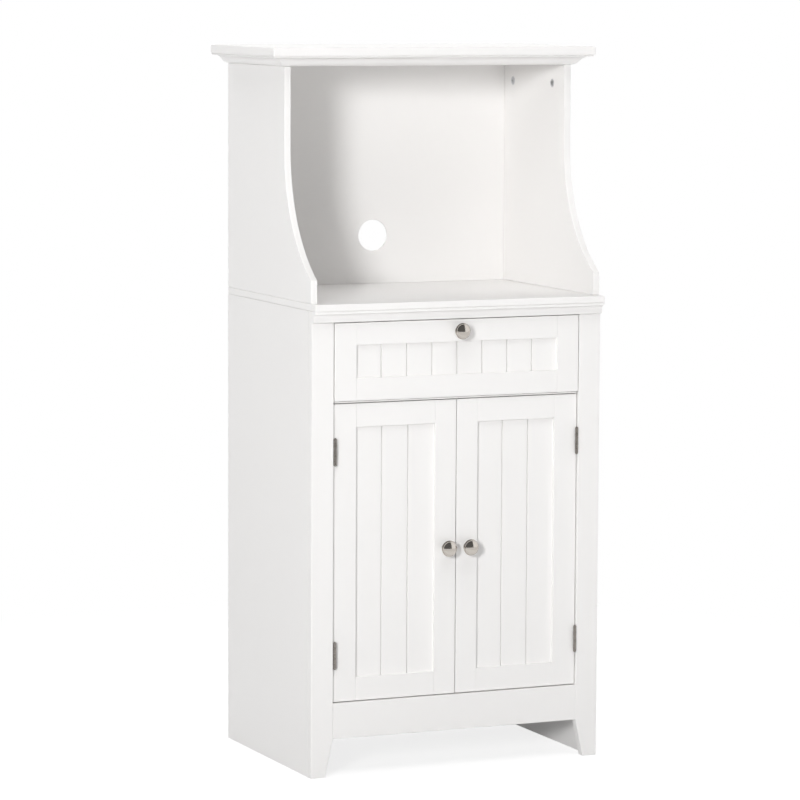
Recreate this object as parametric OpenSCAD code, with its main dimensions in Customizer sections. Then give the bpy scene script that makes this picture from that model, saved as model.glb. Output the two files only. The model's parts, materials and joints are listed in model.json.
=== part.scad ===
// Microwave cabinet: an open hutch with a crown over a counter, a drawer and two doors.
// Millimetres, +Z up, front towards -Y. The origin is on the floor, under the middle of the
// whole outline, which runs from the rear edges to the tip of the drawer knob.

/* [Overall] */
// Width over the crown
overall_w = 600; // [570:1:680]
// Depth of the counter, front edge to rear edges
overall_d = 400; // [370:1:460]
// Height over the crown
overall_h = 1225; // [1150:1:1300]
// Clear height of the microwave bay
bay_h = 391; // [340:1:430]

/* [Boards] */
// Thickness of the side panels
side_t = 12; // [11:0.5:18]
// Thickness of the crown board
crown_t = 15; // [10:0.5:20]
// Thickness of the counter board
counter_t = 12; // [11:0.5:20]
// Thickness of the cupboard floor
floor_t = 15; // [12:0.5:20]
// Drop of the cupboard floor under the apron's top, and of the divider under the drawer front
board_drop = 1; // [0.5:0.5:1.5]
// Thickness of the divider under the drawer
divider_t = 12; // [11:0.5:16]
// Gap between the doors and the lip along the front of the divider
lip_gap = 1.2; // [0.8:0.1:1.5]
// Set-back of that lip behind the door faces
lip_in = 1; // [0.5:0.5:4]
// Thickness of the loose shelf
shelf_t = 12; // [9:0.5:18]
// Thickness of the two back panels
back_t = 3; // [2.5:0.5:5]
// Distance from the rear edges to the rear face of the back panels
back_inset = 15; // [8:1:30]
// Depth of the grooves that hold the back panels
back_groove = 5; // [3:0.5:7]

/* [Hutch] */
// Depth of the hutch sides at the top
hutch_top_d = 261; // [235:1:290]
// Depth of the hutch sides at the counter
hutch_foot_d = 379; // [350:1:384]
// Height of the straight foot under the curve
hutch_foot_h = 39; // [20:1:60]
// Radius of the hollow curve in the front edge
hutch_curve_r = 250; // [180:1:300]
// Diameter of the cable hole in the hutch back
cable_hole_d = 55; // [40:1:70]
// Height of the cable hole's centre over the counter
cable_hole_h = 85.5; // [60:0.5:150]

/* [Crown moulding] */
// Overhang of the crown board on the front and the sides
crown_over = 32; // [24:1:40]
// Height of the ogee moulding under the crown board
crown_mould_h = 17; // [14:0.5:26]
// Width of crown board that shows under its edge, outside the moulding
crown_lip = 2; // [1.5:0.5:8]
// Height of the square fillet at the top of the ogee
crown_fillet_h = 2.6; // [1.5:0.1:4]
// Width of the square fillet beyond the ogee
crown_fillet_w = 8; // [1:0.5:9]
// Width of the flat under the start of the ogee
crown_flat = 1.2; // [0.4:0.1:3]
// Distance of each arc's centre from its chord, in lengths of the chord
crown_bow = 1.5; // [1:0.1:3]

/* [Counter moulding] */
// Overhang of the counter in front of the legs
counter_nose = 16; // [12:0.5:24]
// Height of the moulding under the counter
nose_mould_h = 19.5; // [16:0.5:26]
// Height of the square band at the top of that moulding
nose_band_h = 5; // [3:0.5:7]
// Set-back of the band behind the counter edge
nose_band_in = 1; // [0.5:0.5:3]
// Thickness of the moulding's lower part
nose_body_t = 7; // [5:0.5:9]
// Radius of the cove under the band
nose_cove_r = 5; // [3:0.5:6]
// Radius of the rounded bottom edge
nose_edge_r = 1.5; // [0.5:0.25:2.5]

/* [Legs and apron] */
// Width of a front leg
leg_w = 40; // [34:1:50]
// Thickness of a front leg and of the apron
leg_t = 15; // [12:0.5:20]
// Width of a leg at the floor
leg_foot_w = 26; // [20:1:30]
// Height of the apron's lower edge, where the leg starts to taper
apron_z = 65; // [40:1:90]
// Height of the apron
apron_h = 61; // [45:1:80]

/* [Fronts] */
// Height of the drawer front
drawer_front_h = 131.5; // [125:0.5:150]
// Gap round the drawer front and the doors
face_gap = 1.5; // [1.4:0.1:2.5]
// Gap between the drawer front and the doors
middle_gap = 5; // [4.5:0.5:7]
// Set-back of the door faces behind the legs
door_recess = 5; // [4:0.5:7]
// Thickness of the frames of the drawer front and doors
frame_t = 15; // [14:0.5:20]
// Width of a door stile on the hinge side
hinge_stile_w = 42; // [36:1:50]
// Width of a door stile on the meeting side
meeting_stile_w = 39; // [34:1:46]
// Height of a door rail
door_rail_h = 40; // [34:1:50]
// Width of a drawer-front stile
drawer_stile_w = 40; // [34:1:50]
// Height of a drawer-front rail
drawer_rail_h = 38; // [32:0.5:42]

/* [Panels] */
// Thickness of the grooved panels
panel_t = 6; // [5:0.5:7]
// Depth of a panel face behind its frame
panel_recess = 5; // [4:0.5:6]
// Depth of the groove in a frame that holds the panel
panel_groove = 6; // [4:0.5:8]
// Boards shown on each door panel
door_boards = 3; // [2:1:5]
// Boards shown on the drawer panel
drawer_boards = 8; // [4:1:12]
// Width of the groove between boards, at the face
bead_w = 2; // [1.5:0.25:3]
// Width of the flat floor of that groove
bead_floor = 1.2; // [0.6:0.1:1.4]
// Depth of that groove
bead_deep = 1.5; // [1:0.25:2.5]

/* [Knobs] */
// Diameter of a knob
knob_d = 28; // [22:0.5:34]
// Reach of a knob in front of its face
knob_reach = 27; // [22:0.5:32]
// Height of the domed front of a knob
knob_dome_h = 6; // [4:0.5:9]
// Thickness of the rim of a knob
knob_rim_h = 2.5; // [1.5:0.25:4]
// Diameter of a knob's foot
knob_foot_d = 15; // [12:0.5:18]
// Diameter of a knob's neck
knob_neck_d = 10.5; // [9:0.5:13]
// Diameter of the screw that holds a knob
knob_screw_d = 4; // [3:0.5:5]
// Thread length in a knob
knob_thread = 11; // [8:0.5:14]

/* [Hinges] */
// Height of a butt hinge
hinge_h = 45; // [38:1:60]
// Knuckles in a hinge barrel
hinge_knuckles = 5; // [5:2:7]
// Diameter of a hinge barrel
barrel_d = 5.4; // [4.6:0.2:5.6]
// Diameter of a hinge pin
hinge_pin_d = 2.4; // [2:0.1:3]
// Thickness of a hinge leaf
leaf_t = 0.65; // [0.5:0.05:0.65]
// Width of a hinge leaf on the wood
leaf_w = 13; // [11:0.5:14]
// Distance of the hinge axis from the leg, towards the door
hinge_axis_in = 3; // [3:0.1:3.5]
// Height from a door's end to the middle of the nearer hinge
hinge_end = 80; // [60:1:120]
// Distance of the leaf screws from the ends of a leaf
leaf_screw_end = 8; // [6:0.5:12]
// Gap between knuckles
knuckle_gap = 0.3; // [0.2:0.05:0.5]

/* [Drawer box] */
// Thickness of the drawer box sides, back and inner front
box_t = 12; // [11:0.5:15]
// Depth of the drawer box behind the front
box_d = 320; // [260:1:330]
// Height of the drawer box
box_h = 94; // [80:1:96]
// Height of the box's lower edge over the lower edge of the drawer front
box_lift = 7; // [4:0.5:12]
// Thickness of the drawer bottom
bottom_t = 3; // [2.5:0.5:5]
// Height of the drawer bottom over the box's lower edge
bottom_lift = 8; // [6:0.5:12]
// Depth of the grooves that hold the drawer bottom
bottom_groove = 5; // [3:0.5:5.5]
// Height of the groove that rides on the runner
runner_groove_h = 10; // [8:0.5:14]
// Depth of the groove that rides on the runner
runner_groove_deep = 6.3; // [5:0.1:7]
// Height of the groove's middle over the box's lower edge
runner_lift = 50; // [40:1:60]
// Length of a runner strip
runner_len = 300; // [240:1:310]
// Set-back of a runner strip behind the leg
runner_in = 5; // [3:1:12]
// Distance of the end screws from the ends of a runner
runner_screw_end = 20; // [10:1:40]
// Height of a runner block
block_h = 30; // [24:1:40]

/* [Shelf] */
// Set-back of the shelf behind the doors
shelf_in = 6; // [3:1:20]
// Distance of the pin rows from the shelf's edges
pin_in = 45; // [30:1:70]
// Spacing of the shelf pin holes
pin_pitch = 32; // [25:1:40]
// Pin holes in each row
pin_holes = 5; // [3:2:7]
// Diameter of a shelf pin
shelf_pin_d = 5; // [4:0.5:6]
// Depth of a shelf pin hole
pin_deep = 8; // [6:0.5:9]
// Side play of the shelf
shelf_play = 1.5; // [0.5:0.5:3]

/* [Catch] */
// Width of the double magnetic catch
catch_w = 46; // [40:1:60]
// Height of the catch
catch_h = 13; // [10:0.5:16]
// Depth of the catch
catch_d = 14; // [10:0.5:20]
// Width of a strike plate
strike_w = 18; // [14:1:19]
// Height of a strike plate
strike_h = 12; // [10:0.5:16]
// Thickness of a strike plate
strike_t = 1.2; // [0.8:0.1:2]

/* [Fasteners] */
// Diameter of a cam lock
cam_d = 15; // [12:0.5:16]
// Depth of a cam lock
cam_deep = 9.5; // [8:0.25:10]
// Distance of a cam lock's centre from the joint
cam_back = 33; // [24:1:36]
// Distance of the rear cam locks from the rear edges
cam_rear = 53; // [35:1:80]
// Distance of the front cam locks behind the front edge
cam_front = 49; // [35:1:80]
// Diameter of a cam bolt
cam_bolt_d = 6; // [5:0.5:6.5]
// Depth of a cam bolt in the other board
cam_bolt_in = 9; // [6:0.5:10]
// Diameter of a dowel
dowel_d = 6; // [5:0.5:7]
// Depth of a dowel in an edge
dowel_in = 12; // [10:0.5:14]
// Distance of the rear dowels from the rear edges
dowel_rear = 100; // [80:1:130]
// Distance of the front dowels from the nearest edge
dowel_front = 29; // [20:1:34]
// Diameter of a small screw's shank
screw_d = 2.6; // [2:0.1:3]
// Diameter of a small screw's head
screw_head_d = 5; // [4:0.25:6]
// Length of a hinge or strike screw
screw_len = 11; // [8:0.5:12]
// Depth of a runner screw in the side panel
runner_screw_in = 8; // [6:0.5:9]

/* [Fits] */
// Play of a panel edge in its groove
groove_play = 0.1; // [0.05:0.05:0.3]
// Radial play of a screw, cam, dowel or shelf pin in its hole
hole_play = 0.05; // [0.03:0.01:0.1]
// Radial play of a hinge knuckle on its pin
pin_play = 0.05; // [0.02:0.01:0.1]
// Play between pieces that slide or swing past each other
run_play = 0.3; // [0.3:0.05:0.6]

/* [Hidden] */
$fn = 48;

// Finishes
paint = [0.94, 0.94, 0.92];
lining = [0.93, 0.93, 0.91];
nickel = [0.72, 0.70, 0.66];
steel = [0.62, 0.63, 0.65];
zinc = [0.55, 0.55, 0.56];
nylon = [0.88, 0.88, 0.85];
beech = [0.80, 0.66, 0.46];

// Heights, from the crown down
crown_z = overall_h - crown_t;
bay_top = crown_z - crown_mould_h;
counter_top = bay_top - bay_h;
counter_z = counter_top - counter_t;
nose_z = counter_z - nose_mould_h;
drawer_top = nose_z - face_gap;
drawer_z = drawer_top - drawer_front_h;
door_top = drawer_z - middle_gap;
divider_top = drawer_z - board_drop;
divider_z = divider_top - divider_t;
lip_z = door_top + lip_gap;
apron_top = apron_z + apron_h;
door_z = apron_top + face_gap;
floor_top = apron_top - board_drop;
floor_z = floor_top - floor_t;
door_h = door_top - door_z;

// Depths, from the rear edges forward
back_y = (overall_d + max(0, knob_reach - counter_nose)) / 2;
counter_y = back_y - overall_d;
leg_y = counter_y + counter_nose;
leg_back = leg_y + leg_t;
door_y = leg_y + door_recess;
door_back = door_y + frame_t;
drawer_back_y = leg_y + frame_t;
panel_back = back_y - back_inset;
panel_front = panel_back - back_t;
hutch_y = back_y - hutch_top_d;
hutch_foot_y = back_y - hutch_foot_d;

// Widths, from the middle out
half_w = overall_w / 2 - crown_over;
inner_x = half_w - side_t;
leg_x = half_w - leg_w;
face_x = leg_x - face_gap;
meet_x = face_gap / 2;
box_x = face_x;
axis_x = leg_x - hinge_axis_in;

// Crown
crown_reach = crown_over - crown_lip;

// Middle of the thickness of a side panel
side_mid = half_w - side_t / 2;

// Fixing places
cam_ys = [back_y - cam_rear, hutch_y + cam_front];
floor_cam_ys = [back_y - cam_rear, leg_back + cam_front];
dowel_ys = [back_y - dowel_rear, leg_back + dowel_front];
leg_dowel_zs = [apron_z / 2, (apron_top + door_top) / 2, nose_z - dowel_front];
apron_dowel_zs = [apron_z + apron_h / 4, apron_z + apron_h * 3 / 4];
leg_dowel_in = leg_t * 2 / 3;

// Runners
runner_mid_z = drawer_z + box_lift + runner_lift;
runner_h = runner_groove_h - 2 * run_play;
runner_x = box_x - runner_groove_deep + run_play;
runner_y = leg_back + runner_in;
runner_screw_ys = [runner_y + runner_screw_end, runner_y + runner_len / 2,
                   runner_y + runner_len - runner_screw_end];
runner_screw_len = inner_x + runner_screw_in - runner_x;

// Shelf
shelf_x = inner_x - shelf_play;
shelf_front = door_back + shelf_in;
shelf_floor = (floor_top + divider_z - shelf_t) / 2;
pin_ys = [shelf_front + pin_in, panel_front - pin_in];

// Hinges
knuckle_h = hinge_h / hinge_knuckles;
hinge_zs = [door_z + hinge_end, door_top - hinge_end];
screw_z_off = hinge_h / 2 - leaf_screw_end;
frame_screw_y = leg_y + leaf_w * 0.6;
door_screw_y = door_y + leaf_w * 0.6;

// Knobs
knob_r = knob_d / 2;
drawer_knob_z = drawer_top - drawer_rail_h / 2;
door_knob_z = (door_z + door_top) / 2;
door_knob_x = meet_x + meeting_stile_w / 2;

// Catch
catch_y = door_back + strike_t + run_play;
catch_z = divider_z - catch_h;
strike_x = catch_w / 4;
strike_mid_z = catch_z + catch_h / 2;

// ---- shapes that repeat ----

// A box between two corners
module block(a, b) {
    translate(a)
        cube(b - a);
}

// Its children and their mirror image in the middle plane
module both_sides() {
    children();
    mirror([1, 0, 0])
        children();
}

// A cylinder from point p, of radius r and length h, along +X
module rod_x(p, r, h) {
    translate(p)
        rotate([0, 90, 0])
            cylinder(r = r, h = h);
}

// A cylinder from point p, of radius r and length h, along +Y
module rod_y(p, r, h) {
    translate(p)
        rotate([-90, 0, 0])
            cylinder(r = r, h = h);
}

// A countersunk screw, head flush with z = 0 and point down; play widens it into its hole
module small_screw(len, play = 0) {
    head_r = screw_head_d / 2 + play;
    shank_r = screw_d / 2 + play;
    rotate_extrude()
        polygon([
            [0, play], [head_r, play], [head_r, 0], [shank_r, shank_r - head_r],
            [shank_r, -len + 2 - play], [0.3, -len - play], [0, -len - play]
        ]);
}

// A pan-head machine screw along +Z from its head at z = 0
module machine_screw(len, play = 0) {
    translate([0, 0, -knob_screw_d * 0.6])
        cylinder(d1 = knob_screw_d * 1.7, d2 = knob_screw_d * 2, h = knob_screw_d * 0.6);
    cylinder(r = knob_screw_d / 2 + play, h = len);
}

// Places of the cam joints on the right: [point on the board face, turn]. In the turned frame
// the cam's axis is +Z, out of the board, and its bolt runs along +X.
cam_places = concat(
    [for (y = cam_ys) [[inner_x, y, bay_top - cam_back], [0, -90, 0]]],
    [for (y = cam_ys) [[inner_x, y, counter_z - cam_back], [0, -90, 0]]],
    [for (y = floor_cam_ys) [[inner_x - cam_back, y, divider_z], [180, 0, 0]]],
    [for (y = floor_cam_ys) [[inner_x - cam_back, y, floor_z], [180, 0, 0]]]
);

module at_cams() {
    both_sides()
        for (place = cam_places)
            translate(place[0])
                rotate(place[1])
                    children();
}

// The hole of a cam joint: the cam's pocket and the bolt's bore
module cam_hole() {
    translate([0, 0, -cam_deep - hole_play])
        cylinder(r = cam_d / 2 + hole_play, h = cam_deep + hole_play + 1);
    rod_x([0, 0, -side_t / 2], cam_bolt_d / 2 + hole_play, cam_back + cam_bolt_in + hole_play);
}

module cam_body() {
    slot_l = cam_d * 0.6;
    slot_w = 1.8;
    slot_deep = 1.6;
    difference() {
        translate([0, 0, -cam_deep])
            cylinder(d = cam_d, h = cam_deep);
        rod_x([-cam_bolt_d / 2, 0, -side_t / 2], cam_bolt_d / 2 + hole_play, cam_d);
        for (turn = [0, 90])
            rotate(turn)
                translate([-slot_l / 2, -slot_w / 2, -slot_deep])
                    cube([slot_l, slot_w, slot_deep + 1]);
    }
}

module cam_pin() {
    rod_x([0, 0, -side_t / 2], cam_bolt_d / 2, cam_back + cam_bolt_in);
}

// Dowels of the right side: [start, direction, length]
dowel_places = concat(
    [for (y = dowel_ys)
        [[side_mid, y, counter_z - dowel_in], [0, 0, 0], counter_t + 2 * dowel_in]],
    [for (z = leg_dowel_zs)
        [[side_mid, leg_back - leg_dowel_in, z], [-90, 0, 0], leg_dowel_in + dowel_in]],
    [for (z = apron_dowel_zs)
        [[leg_x - dowel_in, leg_y + leg_t / 2, z], [0, 90, 0], 2 * dowel_in]]
);

module dowel_set(play = 0) {
    both_sides()
        for (place = dowel_places)
            translate(place[0])
                rotate(place[1])
                    translate([0, 0, -play])
                        cylinder(r = dowel_d / 2 + play, h = place[2] + 2 * play);
}

// ---- crown ----

// Ogee of the crown in section: x outwards from the body, y up from the bay's ceiling.
// Two equal arcs meet in the middle; the lower one bulges and the upper one is hollow.
module crown_section() {
    run = (crown_reach - crown_flat - crown_fillet_w) / 2;
    rise = (crown_mould_h - crown_fillet_h) / 2;
    foot = [crown_flat, 0];
    mid = foot + [run, rise];
    tip = mid + [run, rise];
    r = norm([run, rise]) * sqrt(1 / 4 + crown_bow * crown_bow);
    to_centre = crown_bow * [-rise, run];
    far = [crown_reach, -crown_reach];
    difference() {
        union() {
            polygon([
                [0, 0], foot, mid, tip, [crown_reach, 2 * rise],
                [crown_reach, crown_mould_h], [0, crown_mould_h]
            ]);
            intersection() {
                translate((foot + mid) / 2 + to_centre)
                    circle(r = r, $fn = 192);
                polygon([foot, foot + far, mid + far, mid]);
                square([crown_reach, crown_mould_h]);
            }
        }
        intersection() {
            translate((mid + tip) / 2 - to_centre)
                circle(r = r, $fn = 192);
            polygon([mid, mid - far, tip - far, tip]);
        }
    }
}

// A right-angled wedge that cuts a mitre across the front left corner of the crown
module mitre_cut(x_side) {
    far = crown_reach + 20;
    rise = crown_mould_h + 2;
    corner = [-half_w, hutch_y, bay_top - 1];
    points = x_side ? [[1, 1], [-far, -far], [far, -far], [far, 1]]
                    : [[1, 1], [-far, -far], [-far, far], [1, far]];
    translate(corner)
        linear_extrude(height = rise)
            polygon(points);
}

module crown_board() {
    color(paint)
        block([-overall_w / 2, hutch_y - crown_over, crown_z],
              [overall_w / 2, back_y, overall_h]);
}

module crown_front_moulding() {
    color(paint)
        difference() {
            translate([-overall_w / 2, hutch_y, bay_top])
                rotate([90, 0, 90])
                    linear_extrude(height = overall_w)
                        mirror([1, 0])
                            crown_section();
            both_sides()
                mitre_cut(false);
        }
}

module side_crown_moulding() {
    color(paint)
        difference() {
            translate([-half_w, back_y, bay_top])
                rotate([90, 0, 0])
                    linear_extrude(height = hutch_top_d + crown_over)
                        mirror([1, 0])
                            crown_section();
            mitre_cut(true);
        }
}

module crown_left_moulding() {
    side_crown_moulding();
}

module crown_right_moulding() {
    mirror([1, 0, 0])
        side_crown_moulding();
}

// ---- hutch ----

module hutch_top() {
    color(paint)
        difference() {
            block([-half_w, hutch_y, bay_top], [half_w, back_y, crown_z]);
            at_cams()
                cam_hole();
            back_slot(bay_top - 1, bay_top + back_groove + groove_play, half_w);
        }
}

// The groove for a back panel, from height z0 to z1, out to a half-width of reach
module back_slot(z0, z1, reach) {
    block([-reach, panel_front - groove_play, z0],
          [reach, panel_back + groove_play, z1]);
}

// Front edge: straight at the top, a hollow arc, then a straight foot. The arc leaves the
// straight edge without a corner and meets the foot at its top.
module hutch_outline() {
    sweep = hutch_foot_d - hutch_top_d;
    drop = sqrt(pow(hutch_curve_r, 2) - pow(hutch_curve_r - sweep, 2));
    curve_z = counter_top + hutch_foot_h + drop;
    difference() {
        translate([hutch_foot_y, counter_top])
            square([hutch_foot_d, bay_h]);
        union() {
            translate([hutch_y - hutch_curve_r, curve_z])
                circle(r = hutch_curve_r, $fn = 180);
            translate([hutch_y - hutch_curve_r, curve_z])
                square([hutch_curve_r, bay_h]);
        }
    }
}

module hutch_side() {
    color(paint)
        difference() {
            translate([inner_x, 0, 0])
                rotate([90, 0, 90])
                    linear_extrude(height = side_t)
                        hutch_outline();
            back_slot(counter_top - 1, bay_top + 1, inner_x + back_groove + groove_play);
            at_cams()
                cam_hole();
            dowel_set(hole_play);
        }
}

module hutch_left_side() {
    mirror([1, 0, 0])
        hutch_side();
}

module hutch_right_side() {
    hutch_side();
}

module hutch_back() {
    color(lining)
        difference() {
            block([-inner_x - back_groove, panel_front, counter_top],
                  [inner_x + back_groove, panel_back, bay_top + back_groove]);
            rod_y([0, panel_front - 1, counter_top + cable_hole_h], cable_hole_d / 2, back_t + 2);
        }
}

// ---- counter ----

module counter_board() {
    color(paint)
        difference() {
            block([-half_w, counter_y, counter_z], [half_w, back_y, counter_top]);
            at_cams()
                cam_hole();
            dowel_set(hole_play);
        }
}

// Counter moulding in section: x forwards from the legs, y up from its lower edge
module nose_section() {
    band_x = counter_nose - nose_band_in;
    band_y = nose_mould_h - nose_band_h;
    difference() {
        union() {
            square([nose_body_t + nose_cove_r, nose_mould_h]);
            translate([0, band_y])
                square([band_x, nose_band_h]);
        }
        translate([nose_body_t + nose_cove_r, band_y - nose_cove_r])
            circle(r = nose_cove_r);
        translate([nose_body_t, -1])
            square([nose_cove_r + 1, band_y - nose_cove_r + 1]);
        difference() {
            translate([nose_body_t - nose_edge_r, -1])
                square([nose_edge_r + 1, nose_edge_r + 1]);
            translate([nose_body_t - nose_edge_r, nose_edge_r])
                circle(r = nose_edge_r);
        }
    }
}

module counter_moulding() {
    color(paint)
        translate([-half_w, leg_y, nose_z])
            rotate([90, 0, 90])
                linear_extrude(height = 2 * half_w)
                    mirror([1, 0])
                        nose_section();
}

// ---- base ----

module base_side() {
    color(paint)
        difference() {
            block([inner_x, leg_back, 0], [half_w, back_y, counter_z]);
            back_slot(floor_z, counter_z + 1, inner_x + back_groove + groove_play);
            at_cams()
                cam_hole();
            dowel_set(hole_play);
            for (y = pin_ys, i = [0 : pin_holes - 1])
                rod_x([inner_x - 1, y, shelf_pin_z(i)], shelf_pin_d / 2 + hole_play,
                      pin_deep + 1 + hole_play);
            at_runner_screws()
                small_screw(runner_screw_len, hole_play);
        }
}

module base_left_side() {
    mirror([1, 0, 0])
        base_side();
}

module base_right_side() {
    base_side();
}

// Height of shelf pin hole i; the middle hole carries the shelf
function shelf_pin_z(i) =
    shelf_floor - shelf_pin_d / 2 + (i - (pin_holes - 1) / 2) * pin_pitch;

// Right leg: a strip on the front edge of the side, tapered inside below the apron
module leg() {
    color(paint)
        difference() {
            translate([0, leg_back, 0])
                rotate([90, 0, 0])
                    linear_extrude(height = leg_t)
                        polygon([
                            [half_w, 0], [half_w, counter_z], [leg_x, counter_z],
                            [leg_x, apron_z], [half_w - leg_foot_w, 0]
                        ]);
            dowel_set(hole_play);
            at_frame_screws()
                small_screw(screw_len, hole_play);
        }
}

module left_leg() {
    mirror([1, 0, 0])
        leg();
}

module right_leg() {
    leg();
}

module apron() {
    color(paint)
        difference() {
            block([-leg_x, leg_y, apron_z], [leg_x, leg_back, apron_top]);
            dowel_set(hole_play);
        }
}

module divider() {
    color(lining)
        difference() {
            union() {
                block([-inner_x, door_back + run_play, divider_z],
                      [inner_x, panel_front, divider_top]);
                block([-face_x, door_y + lip_in, lip_z], [face_x, panel_front, divider_top]);
            }
            at_cams()
                cam_hole();
            at_catch_screws()
                small_screw(catch_h + screw_len - 2, hole_play);
        }
}

module cupboard_floor() {
    color(lining)
        difference() {
            block([-inner_x, leg_back, floor_z], [inner_x, panel_front, floor_top]);
            at_cams()
                cam_hole();
        }
}

module base_back() {
    color(lining)
        block([-inner_x - back_groove, panel_front, floor_z],
              [inner_x + back_groove, panel_back, counter_z]);
}

module shelf() {
    color(lining)
        block([-shelf_x, shelf_front, shelf_floor],
              [shelf_x, panel_front - run_play, shelf_floor + shelf_t]);
}

module shelf_pins() {
    middle = (pin_holes - 1) / 2;
    collar_t = 1;
    color(nickel)
        both_sides()
            for (y = pin_ys) {
                rod_x([inner_x - pin_deep, y, shelf_pin_z(middle)], shelf_pin_d / 2,
                      2 * pin_deep);
                difference() {
                    rod_x([inner_x - collar_t, y, shelf_pin_z(middle)],
                          shelf_pin_d * 0.8, collar_t);
                    block([0, y - shelf_pin_d, shelf_floor],
                          [inner_x, y + shelf_pin_d, shelf_floor + shelf_pin_d]);
                }
            }
}

// ---- drawer runners ----

module at_runner_screws() {
    for (y = runner_screw_ys)
        translate([runner_x, y, runner_mid_z])
            rotate([0, -90, 0])
                children();
}

module runner_block() {
    color(lining)
        difference() {
            block([leg_x, leg_back, runner_mid_z - block_h / 2],
                  [inner_x, runner_y + runner_len + runner_in, runner_mid_z + block_h / 2]);
            at_runner_screws()
                small_screw(runner_screw_len, hole_play);
        }
}

module left_runner_block() {
    mirror([1, 0, 0])
        runner_block();
}

module right_runner_block() {
    runner_block();
}

// A nylon strip with eased front corners that lead it into the drawer side
module runner() {
    lead = 3;
    z0 = runner_mid_z - runner_h / 2;
    z1 = runner_mid_z + runner_h / 2;
    color(nylon)
        difference() {
            translate([runner_x, 0, 0])
                rotate([90, 0, 90])
                    linear_extrude(height = leg_x - runner_x)
                        polygon([
                            [runner_y, z0 + lead], [runner_y + lead, z0],
                            [runner_y + runner_len, z0], [runner_y + runner_len, z1],
                            [runner_y + lead, z1], [runner_y, z1 - lead]
                        ]);
            at_runner_screws()
                small_screw(runner_screw_len, hole_play);
        }
}

module left_runner() {
    mirror([1, 0, 0])
        runner();
}

module right_runner() {
    runner();
}

module runner_screws() {
    color(zinc)
        both_sides()
            at_runner_screws()
                small_screw(runner_screw_len);
}

// ---- cams and dowels ----

module cam_locks() {
    color(zinc)
        at_cams()
            cam_body();
}

module cam_bolts() {
    color(steel)
        at_cams()
            cam_pin();
}

module dowels() {
    color(beech)
        dowel_set();
}

// ---- magnetic catch ----

// Two screws hold the catch up under the divider
module at_catch_screws() {
    for (x = [-catch_w * 0.42, catch_w * 0.42])
        translate([x, catch_y + catch_d / 2, catch_z])
            rotate([180, 0, 0])
                children();
}

// Middles of the four steel pole plates, in pairs behind the strike plates
catch_pole_xs = [for (s = [-1, 1], k = [-1, 1]) s * strike_x + k * strike_w * 0.22];

module pole_plates(play = 0) {
    pole_t = 1.5;
    pole_in = 6;
    pole_h = catch_h * 0.7;
    for (x = catch_pole_xs)
        block([x - pole_t / 2 - play, catch_y, strike_mid_z - pole_h / 2 - play],
              [x + pole_t / 2 + play, catch_y + pole_in + play, strike_mid_z + pole_h / 2 + play]);
}

module catch_case() {
    pole_proud = 0.8;
    color(nylon)
        difference() {
            block([-catch_w / 2, catch_y + pole_proud, catch_z],
                  [catch_w / 2, catch_y + catch_d, divider_z]);
            pole_plates(hole_play);
            at_catch_screws()
                small_screw(catch_h + screw_len - 2, hole_play);
        }
}

module catch_poles() {
    color(steel)
        pole_plates();
}

module catch_screws() {
    color(zinc)
        at_catch_screws()
            small_screw(catch_h + screw_len - 2);
}

module strike_screw_place(x) {
    translate([x, door_back + strike_t, strike_mid_z])
        rotate([-90, 0, 0])
            children();
}

// Strike plate of the right door, with its screw as a second solid
module strike_plate() {
    color(steel) {
        difference() {
            block([strike_x - strike_w / 2, door_back, strike_mid_z - strike_h / 2],
                  [strike_x + strike_w / 2, door_back + strike_t, strike_mid_z + strike_h / 2]);
            strike_screw_place(strike_x)
                small_screw(screw_len, hole_play);
        }
        strike_screw_place(strike_x)
            small_screw(screw_len);
    }
}

module left_strike_plate() {
    mirror([1, 0, 0])
        strike_plate();
}

module right_strike_plate() {
    strike_plate();
}

// ---- hinges, drawn for the right door ----

// Leaf screws sit in pairs above and below the middle of each hinge
module at_frame_screws() {
    for (z = hinge_zs, dz = [-screw_z_off, screw_z_off])
        translate([leg_x - leaf_t, frame_screw_y, z + dz])
            rotate([0, -90, 0])
                children();
}

module at_door_screws() {
    for (z = hinge_zs, dz = [-screw_z_off, screw_z_off])
        translate([face_x + leaf_t, door_screw_y, z + dz])
            rotate([0, 90, 0])
                children();
}

// Rolled knuckles of one leaf: first is 0 for the frame leaf and 1 for the door leaf
module knuckles(first, play) {
    for (k = [first : 2 : hinge_knuckles - 1])
        translate([axis_x, leg_y, -hinge_h / 2 + k * knuckle_h + knuckle_gap / 2])
            difference() {
                cylinder(d = barrel_d, h = knuckle_h - knuckle_gap);
                translate([0, 0, -1])
                    cylinder(r = hinge_pin_d / 2 + play, h = knuckle_h + 2);
            }
}

// Room for the other leaf's knuckles to turn in
module knuckle_room(first) {
    room_r = barrel_d / 2 + run_play;
    for (k = [first : 2 : hinge_knuckles - 1])
        translate([axis_x - room_r, leg_y - room_r,
                   -hinge_h / 2 + k * knuckle_h - knuckle_gap / 2])
            cube([2 * room_r + leaf_t, 2 * room_r, knuckle_h + knuckle_gap]);
}

module pin_bore() {
    translate([axis_x, leg_y, -hinge_h / 2 - 1])
        cylinder(r = hinge_pin_d / 2 + pin_play, h = hinge_h + 2);
}

module frame_leaf() {
    difference() {
        block([leg_x - leaf_t, leg_y, -hinge_h / 2], [leg_x, leg_y + leaf_w, hinge_h / 2]);
        knuckle_room(1);
        pin_bore();
    }
    knuckles(0, pin_play);
}

module door_leaf() {
    difference() {
        block([face_x, leg_y + 1, -hinge_h / 2], [face_x + leaf_t, door_y + leaf_w, hinge_h / 2]);
        knuckle_room(0);
        pin_bore();
    }
    knuckles(1, pin_play);
}

module frame_leaves() {
    color(nickel)
        both_sides()
            difference() {
                for (z = hinge_zs)
                    translate([0, 0, z])
                        frame_leaf();
                at_frame_screws()
                    small_screw(screw_len, hole_play);
            }
}

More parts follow.
